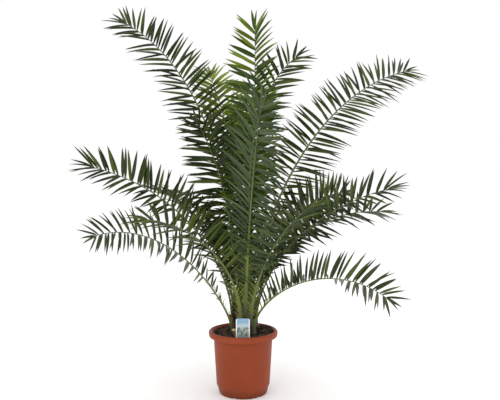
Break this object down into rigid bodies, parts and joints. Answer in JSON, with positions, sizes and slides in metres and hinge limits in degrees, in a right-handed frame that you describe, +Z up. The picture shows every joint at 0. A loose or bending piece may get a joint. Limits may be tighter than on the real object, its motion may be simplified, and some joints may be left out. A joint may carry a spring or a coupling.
{
  "type": "potted canary island date palm",
  "caption": "Young Canary Island date palm with arching feather fronds rising from a short bulbous trunk, in a round nursery pot with a rolled collar.",
  "frame": {"origin": "centre of the pot's flat underside, on the ground it stands on", "axes": "+Z up along the pot's axis, +X the viewer's right in the picture, +Y away from the viewer"},
  "size_m": [1.4558, 1.2663, 1.5052],
  "materials": {
    "pot_plastic": "terracotta-coloured moulded plastic with a dull sheen",
    "peat_compost": "dark crumbly peat and bark",
    "leaf_base_fibre": "brown fibrous old leaf bases",
    "cut_petiole": "pale tan cut face of a dried leaf stalk",
    "label_card": "thin coated card with a soft pale print",
    "grown_frond": "stiff dark green leaflets with a dull waxy sheen",
    "young_frond": "stiff bright green leaflets"
  },
  "bodies": {
    "root": {"pot": "pot_plastic", "compost": "peat_compost", "trunk": "leaf_base_fibre", "cut_leaf_base": "cut_petiole", "plant_label": "label_card", "frond_left_upper": "grown_frond", "frond_left_inner": "grown_frond", "frond_back_left_upper": "young_frond", "frond_centre_upper": "young_frond", "frond_front_upper": "grown_frond", "frond_right_inner": "young_frond", "frond_right_upper": "grown_frond", "frond_back_upper": "grown_frond", "frond_left_middle": "grown_frond", "frond_right_middle": "grown_frond", "frond_right_back": "grown_frond", "frond_front_left": "grown_frond", "frond_front_right": "grown_frond", "frond_back_right": "grown_frond", "frond_back_left": "grown_frond", "frond_left_lower": "grown_frond", "frond_right_lower": "grown_frond", "frond_back_lower": "grown_frond"}
  },
  "joints": []
}
